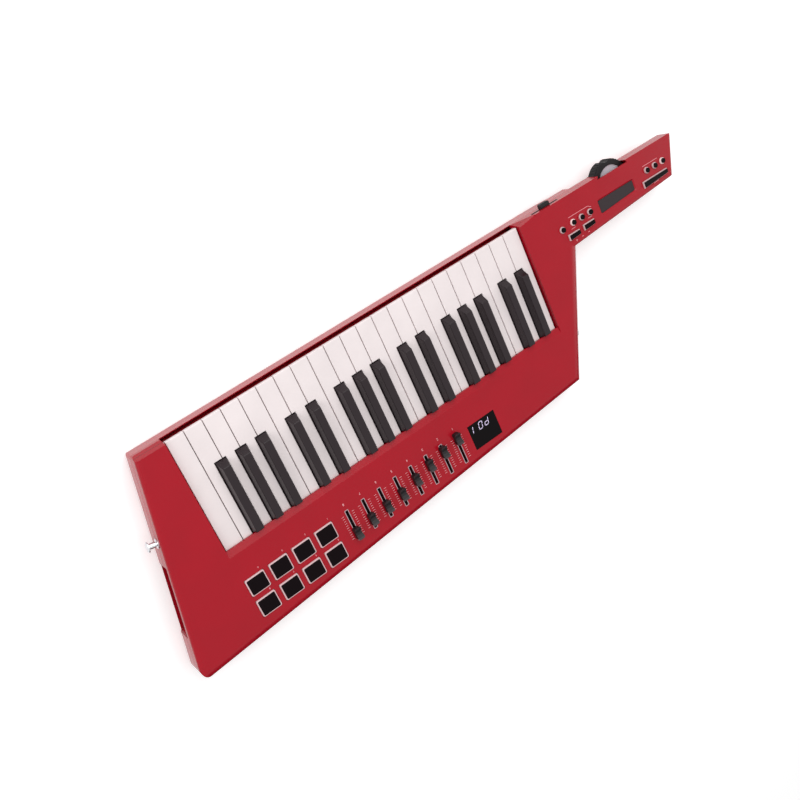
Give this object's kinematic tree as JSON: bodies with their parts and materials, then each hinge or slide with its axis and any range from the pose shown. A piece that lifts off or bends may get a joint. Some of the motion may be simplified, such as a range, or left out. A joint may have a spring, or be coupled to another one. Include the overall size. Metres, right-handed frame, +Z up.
{
  "type": "keytar",
  "caption": "Shoulder keyboard with a slim neck, sprung piano keys on a rod, slide faders, drum pads, a ribbon strip and a thumb wheel in a moulded two-part casing.",
  "frame": {"origin": "middle of the instrument's bounding box, on the surface it lies on", "axes": "+X along the keys from bass to treble, +Y away from the player towards the rear edge, +Z up out of the key tops"},
  "size_m": [0.8976, 0.2768, 0.0543],
  "materials": {
    "panel_red": "satin moulded",
    "back_red": "satin moulded",
    "door_red": "satin moulded",
    "chassis_grey": "matt moulded",
    "rod_steel": "drawn",
    "board_green": "laminate with soldered parts",
    "socket_black": "moulded housings on laminate",
    "pad_rubber": "moulded silicone",
    "window_black": "polished",
    "ribbon_grey": "matt film",
    "peg_chrome": "polished",
    "screw_steel": "blackened",
    "wheel_black": "ribbed",
    "slider_black": "ribbed",
    "bar_black": "satin",
    "fader_black": "satin",
    "key_white": "satin gloss",
    "key_black": "satin"
  },
  "bodies": {
    "casing": {"top_cover": "panel_red", "back_cover": "back_red", "key_bed": "chassis_grey", "pivot_rod": "rod_steel", "circuit_board": "board_green", "socket_board": "socket_black", "control_mats": "pad_rubber", "display_window": "window_black", "ribbon_strip": "ribbon_grey", "strap_pegs": "peg_chrome", "screws": "screw_steel"},
    "battery_door": {"battery_door": "door_red"},
    "pitch_wheel": {"pitch_wheel": "wheel_black"},
    "neck_slider": {"neck_slider": "slider_black"},
    "hold_bar": {"hold_bar": "bar_black"},
    "fader_1": {"fader_1": "fader_black"},
    "fader_2": {"fader_2": "fader_black"},
    "fader_3": {"fader_3": "fader_black"},
    "fader_4": {"fader_4": "fader_black"},
    "fader_5": {"fader_5": "fader_black"},
    "fader_6": {"fader_6": "fader_black"},
    "fader_7": {"fader_7": "fader_black"},
    "fader_8": {"fader_8": "fader_black"},
    "key_c3": {"key_c3": "key_white"},
    "key_d3": {"key_d3": "key_white"},
    "key_e3": {"key_e3": "key_white"},
    "key_f3": {"key_f3": "key_white"},
    "key_g3": {"key_g3": "key_white"},
    "key_a3": {"key_a3": "key_white"},
    "key_b3": {"key_b3": "key_white"},
    "key_c4": {"key_c4": "key_white"},
    "key_d4": {"key_d4": "key_white"},
    "key_e4": {"key_e4": "key_white"},
    "key_f4": {"key_f4": "key_white"},
    "key_g4": {"key_g4": "key_white"},
    "key_a4": {"key_a4": "key_white"},
    "key_b4": {"key_b4": "key_white"},
    "key_c5": {"key_c5": "key_white"},
    "key_d5": {"key_d5": "key_white"},
    "key_e5": {"key_e5": "key_white"},
    "key_f5": {"key_f5": "key_white"},
    "key_g5": {"key_g5": "key_white"},
    "key_a5": {"key_a5": "key_white"},
    "key_b5": {"key_b5": "key_white"},
    "key_c6": {"key_c6": "key_white"},
    "key_c_sharp3": {"key_c_sharp3": "key_black"},
    "key_d_sharp3": {"key_d_sharp3": "key_black"},
    "key_f_sharp3": {"key_f_sharp3": "key_black"},
    "key_g_sharp3": {"key_g_sharp3": "key_black"},
    "key_a_sharp3": {"key_a_sharp3": "key_black"},
    "key_c_sharp4": {"key_c_sharp4": "key_black"},
    "key_d_sharp4": {"key_d_sharp4": "key_black"},
    "key_f_sharp4": {"key_f_sharp4": "key_black"},
    "key_g_sharp4": {"key_g_sharp4": "key_black"},
    "key_a_sharp4": {"key_a_sharp4": "key_black"},
    "key_c_sharp5": {"key_c_sharp5": "key_black"},
    "key_d_sharp5": {"key_d_sharp5": "key_black"},
    "key_f_sharp5": {"key_f_sharp5": "key_black"},
    "key_g_sharp5": {"key_g_sharp5": "key_black"},
    "key_a_sharp5": {"key_a_sharp5": "key_black"}
  },
  "joints": [
    {"name": "fader_1_slide", "type": "slide", "parent": "casing", "child": "fader_1", "axis": [0, 1, 0], "range_m": [-0.0007, 0.0318]},
    {"name": "fader_2_slide", "type": "slide", "parent": "casing", "child": "fader_2", "axis": [0, 1, 0], "range_m": [-0.005, 0.0275]},
    {"name": "fader_3_slide", "type": "slide", "parent": "casing", "child": "fader_3", "axis": [0, 1, 0], "range_m": [-0.0089, 0.0236]},
    {"name": "fader_4_slide", "type": "slide", "parent": "casing", "child": "fader_4", "axis": [0, 1, 0], "range_m": [-0.0143, 0.0182]},
    {"name": "fader_5_slide", "type": "slide", "parent": "casing", "child": "fader_5", "axis": [0, 1, 0], "range_m": [-0.0195, 0.013]},
    {"name": "fader_6_slide", "type": "slide", "parent": "casing", "child": "fader_6", "axis": [0, 1, 0], "range_m": [-0.0212, 0.0113]},
    {"name": "fader_7_slide", "type": "slide", "parent": "casing", "child": "fader_7", "axis": [0, 1, 0], "range_m": [-0.0231, 0.0094]},
    {"name": "fader_8_slide", "type": "slide", "parent": "casing", "child": "fader_8", "axis": [0, 1, 0], "range_m": [-0.027, 0.0055]},
    {"name": "pitch_wheel_turn", "type": "hinge", "parent": "casing", "child": "pitch_wheel", "pos_m": [-0.33193, -0.10802, 0.0396], "axis": [0, 0, 1], "range_deg": [-40, 40], "stiffness_Nm_per_rad": 0.05},
    {"name": "neck_slider_slide", "type": "slide", "parent": "casing", "child": "neck_slider", "axis": [1, 0, 0], "range_m": [-0.017, 0.017]},
    {"name": "hold_bar_press", "type": "slide", "parent": "casing", "child": "hold_bar", "axis": [0, 0, -1], "range_m": [0, 0.00075], "stiffness_N_per_m": 400, "springref_m": -0.0015},
    {"name": "battery_door_lift", "type": "slide", "parent": "casing", "child": "battery_door", "axis": [0, 0, -1], "range_m": [0, 0.02]},
    {"name": "key_c3_press", "type": "hinge", "parent": "casing", "child": "key_c3", "pos_m": [-0.14914, 0.04598, 0.034], "axis": [1, 0, 0], "range_deg": [0, 3.4], "stiffness_Nm_per_rad": 0.5, "springref_deg": -5.73},
    {"name": "key_d3_press", "type": "hinge", "parent": "casing", "child": "key_d3", "pos_m": [-0.12557, 0.04598, 0.034], "axis": [1, 0, 0], "range_deg": [0, 3.4], "stiffness_Nm_per_rad": 0.5, "springref_deg": -5.73},
    {"name": "key_e3_press", "type": "hinge", "parent": "casing", "child": "key_e3", "pos_m": [-0.102, 0.04598, 0.034], "axis": [1, 0, 0], "range_deg": [0, 3.4], "stiffness_Nm_per_rad": 0.5, "springref_deg": -5.73},
    {"name": "key_f3_press", "type": "hinge", "parent": "casing", "child": "key_f3", "pos_m": [-0.07843, 0.04598, 0.034], "axis": [1, 0, 0], "range_deg": [0, 3.4], "stiffness_Nm_per_rad": 0.5, "springref_deg": -5.73},
    {"name": "key_g3_press", "type": "hinge", "parent": "casing", "child": "key_g3", "pos_m": [-0.05486, 0.04598, 0.034], "axis": [1, 0, 0], "range_deg": [0, 3.4], "stiffness_Nm_per_rad": 0.5, "springref_deg": -5.73},
    {"name": "key_a3_press", "type": "hinge", "parent": "casing", "child": "key_a3", "pos_m": [-0.03129, 0.04598, 0.034], "axis": [1, 0, 0], "range_deg": [0, 3.4], "stiffness_Nm_per_rad": 0.5, "springref_deg": -5.73},
    {"name": "key_b3_press", "type": "hinge", "parent": "casing", "child": "key_b3", "pos_m": [-0.00772, 0.04598, 0.034], "axis": [1, 0, 0], "range_deg": [0, 3.4], "stiffness_Nm_per_rad": 0.5, "springref_deg": -5.73},
    {"name": "key_c4_press", "type": "hinge", "parent": "casing", "child": "key_c4", "pos_m": [0.01586, 0.04598, 0.034], "axis": [1, 0, 0], "range_deg": [0, 3.4], "stiffness_Nm_per_rad": 0.5, "springref_deg": -5.73},
    {"name": "key_d4_press", "type": "hinge", "parent": "casing", "child": "key_d4", "pos_m": [0.03943, 0.04598, 0.034], "axis": [1, 0, 0], "range_deg": [0, 3.4], "stiffness_Nm_per_rad": 0.5, "springref_deg": -5.73},
    {"name": "key_e4_press", "type": "hinge", "parent": "casing", "child": "key_e4", "pos_m": [0.063, 0.04598, 0.034], "axis": [1, 0, 0], "range_deg": [0, 3.4], "stiffness_Nm_per_rad": 0.5, "springref_deg": -5.73},
    {"name": "key_f4_press", "type": "hinge", "parent": "casing", "child": "key_f4", "pos_m": [0.08657, 0.04598, 0.034], "axis": [1, 0, 0], "range_deg": [0, 3.4], "stiffness_Nm_per_rad": 0.5, "springref_deg": -5.73},
    {"name": "key_g4_press", "type": "hinge", "parent": "casing", "child": "key_g4", "pos_m": [0.11014, 0.04598, 0.034], "axis": [1, 0, 0], "range_deg": [0, 3.4], "stiffness_Nm_per_rad": 0.5, "springref_deg": -5.73},
    {"name": "key_a4_press", "type": "hinge", "parent": "casing", "child": "key_a4", "pos_m": [0.13371, 0.04598, 0.034], "axis": [1, 0, 0], "range_deg": [0, 3.4], "stiffness_Nm_per_rad": 0.5, "springref_deg": -5.73},
    {"name": "key_b4_press", "type": "hinge", "parent": "casing", "child": "key_b4", "pos_m": [0.15728, 0.04598, 0.034], "axis": [1, 0, 0], "range_deg": [0, 3.4], "stiffness_Nm_per_rad": 0.5, "springref_deg": -5.73},
    {"name": "key_c5_press", "type": "hinge", "parent": "casing", "child": "key_c5", "pos_m": [0.18085, 0.04598, 0.034], "axis": [1, 0, 0], "range_deg": [0, 3.4], "stiffness_Nm_per_rad": 0.5, "springref_deg": -5.73},
    {"name": "key_d5_press", "type": "hinge", "parent": "casing", "child": "key_d5", "pos_m": [0.20443, 0.04598, 0.034], "axis": [1, 0, 0], "range_deg": [0, 3.4], "stiffness_Nm_per_rad": 0.5, "springref_deg": -5.73},
    {"name": "key_e5_press", "type": "hinge", "parent": "casing", "child": "key_e5", "pos_m": [0.228, 0.04598, 0.034], "axis": [1, 0, 0], "range_deg": [0, 3.4], "stiffness_Nm_per_rad": 0.5, "springref_deg": -5.73},
    {"name": "key_f5_press", "type": "hinge", "parent": "casing", "child": "key_f5", "pos_m": [0.25157, 0.04598, 0.034], "axis": [1, 0, 0], "range_deg": [0, 3.4], "stiffness_Nm_per_rad": 0.5, "springref_deg": -5.73},
    {"name": "key_g5_press", "type": "hinge", "parent": "casing", "child": "key_g5", "pos_m": [0.27514, 0.04598, 0.034], "axis": [1, 0, 0], "range_deg": [0, 3.4], "stiffness_Nm_per_rad": 0.5, "springref_deg": -5.73},
    {"name": "key_a5_press", "type": "hinge", "parent": "casing", "child": "key_a5", "pos_m": [0.29871, 0.04598, 0.034], "axis": [1, 0, 0], "range_deg": [0, 3.4], "stiffness_Nm_per_rad": 0.5, "springref_deg": -5.73},
    {"name": "key_b5_press", "type": "hinge", "parent": "casing", "child": "key_b5", "pos_m": [0.32228, 0.04598, 0.034], "axis": [1, 0, 0], "range_deg": [0, 3.4], "stiffness_Nm_per_rad": 0.5, "springref_deg": -5.73},
    {"name": "key_c6_press", "type": "hinge", "parent": "casing", "child": "key_c6", "pos_m": [0.34586, 0.04598, 0.034], "axis": [1, 0, 0], "range_deg": [0, 3.4], "stiffness_Nm_per_rad": 0.5, "springref_deg": -5.73},
    {"name": "key_c_sharp3_press", "type": "hinge", "parent": "casing", "child": "key_c_sharp3", "pos_m": [-0.13986, 0.04598, 0.034], "axis": [1, 0, 0], "range_deg": [0, 4.5], "stiffness_Nm_per_rad": 0.5, "springref_deg": -5.73},
    {"name": "key_d_sharp3_press", "type": "hinge", "parent": "casing", "child": "key_d_sharp3", "pos_m": [-0.11129, 0.04598, 0.034], "axis": [1, 0, 0], "range_deg": [0, 4.5], "stiffness_Nm_per_rad": 0.5, "springref_deg": -5.73},
    {"name": "key_f_sharp3_press", "type": "hinge", "parent": "casing", "child": "key_f_sharp3", "pos_m": [-0.06994, 0.04598, 0.034], "axis": [1, 0, 0], "range_deg": [0, 4.5], "stiffness_Nm_per_rad": 0.5, "springref_deg": -5.73},
    {"name": "key_g_sharp3_press", "type": "hinge", "parent": "casing", "child": "key_g_sharp3", "pos_m": [-0.04307, 0.04598, 0.034], "axis": [1, 0, 0], "range_deg": [0, 4.5], "stiffness_Nm_per_rad": 0.5, "springref_deg": -5.73},
    {"name": "key_a_sharp3_press", "type": "hinge", "parent": "casing", "child": "key_a_sharp3", "pos_m": [-0.0162, 0.04598, 0.034], "axis": [1, 0, 0], "range_deg": [0, 4.5], "stiffness_Nm_per_rad": 0.5, "springref_deg": -5.73},
    {"name": "key_c_sharp4_press", "type": "hinge", "parent": "casing", "child": "key_c_sharp4", "pos_m": [0.02514, 0.04598, 0.034], "axis": [1, 0, 0], "range_deg": [0, 4.5], "stiffness_Nm_per_rad": 0.5, "springref_deg": -5.73},
    {"name": "key_d_sharp4_press", "type": "hinge", "parent": "casing", "child": "key_d_sharp4", "pos_m": [0.05371, 0.04598, 0.034], "axis": [1, 0, 0], "range_deg": [0, 4.5], "stiffness_Nm_per_rad": 0.5, "springref_deg": -5.73},
    {"name": "key_f_sharp4_press", "type": "hinge", "parent": "casing", "child": "key_f_sharp4", "pos_m": [0.09506, 0.04598, 0.034], "axis": [1, 0, 0], "range_deg": [0, 4.5], "stiffness_Nm_per_rad": 0.5, "springref_deg": -5.73},
    {"name": "key_g_sharp4_press", "type": "hinge", "parent": "casing", "child": "key_g_sharp4", "pos_m": [0.12193, 0.04598, 0.034], "axis": [1, 0, 0], "range_deg": [0, 4.5], "stiffness_Nm_per_rad": 0.5, "springref_deg": -5.73},
    {"name": "key_a_sharp4_press", "type": "hinge", "parent": "casing", "child": "key_a_sharp4", "pos_m": [0.1488, 0.04598, 0.034], "axis": [1, 0, 0], "range_deg": [0, 4.5], "stiffness_Nm_per_rad": 0.5, "springref_deg": -5.73},
    {"name": "key_c_sharp5_press", "type": "hinge", "parent": "casing", "child": "key_c_sharp5", "pos_m": [0.19014, 0.04598, 0.034], "axis": [1, 0, 0], "range_deg": [0, 4.5], "stiffness_Nm_per_rad": 0.5, "springref_deg": -5.73},
    {"name": "key_d_sharp5_press", "type": "hinge", "parent": "casing", "child": "key_d_sharp5", "pos_m": [0.21871, 0.04598, 0.034], "axis": [1, 0, 0], "range_deg": [0, 4.5], "stiffness_Nm_per_rad": 0.5, "springref_deg": -5.73},
    {"name": "key_f_sharp5_press", "type": "hinge", "parent": "casing", "child": "key_f_sharp5", "pos_m": [0.26005, 0.04598, 0.034], "axis": [1, 0, 0], "range_deg": [0, 4.5], "stiffness_Nm_per_rad": 0.5, "springref_deg": -5.73},
    {"name": "key_g_sharp5_press", "type": "hinge", "parent": "casing", "child": "key_g_sharp5", "pos_m": [0.28693, 0.04598, 0.034], "axis": [1, 0, 0], "range_deg": [0, 4.5], "stiffness_Nm_per_rad": 0.5, "springref_deg": -5.73},
    {"name": "key_a_sharp5_press", "type": "hinge", "parent": "casing", "child": "key_a_sharp5", "pos_m": [0.3138, 0.04598, 0.034], "axis": [1, 0, 0], "range_deg": [0, 4.5], "stiffness_Nm_per_rad": 0.5, "springref_deg": -5.73}
  ]
}
